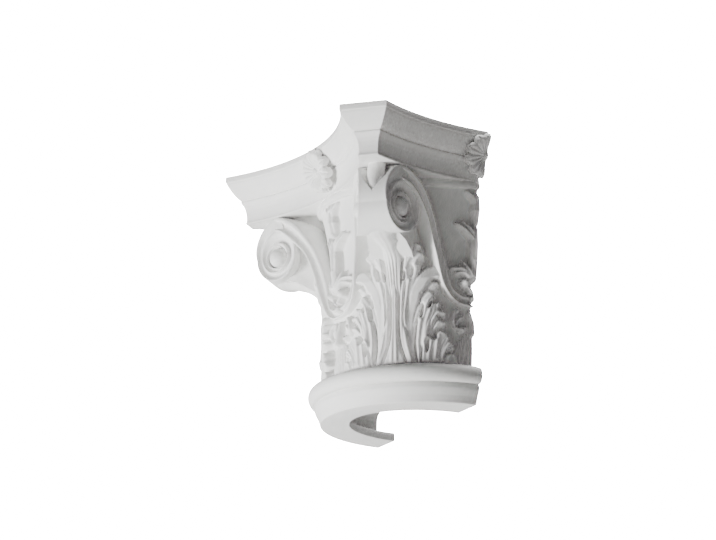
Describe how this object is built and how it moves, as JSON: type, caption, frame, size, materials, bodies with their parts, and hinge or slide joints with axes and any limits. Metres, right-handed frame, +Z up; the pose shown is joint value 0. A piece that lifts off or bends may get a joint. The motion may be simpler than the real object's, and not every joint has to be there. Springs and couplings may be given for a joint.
{
  "type": "half corinthian capital",
  "caption": "Hollow half capital with leaves, corner volutes and a concave-sided abacus, cut flat at the back to stand on a half column against a wall.",
  "frame": {"origin": "centre of the bounding box at the underside of the ring, with the flat back about 110 mm behind it", "axes": "+Z up the column, -Y towards the carved front, +Y towards the wall, +X to the right along the wall"},
  "size_m": [0.44, 0.2198, 0.362],
  "materials": {
    "white_foam": "factory-primed matte white, smooth moulded skin"
  },
  "bodies": {
    "root": {"half_capital": "white_foam"}
  },
  "joints": []
}
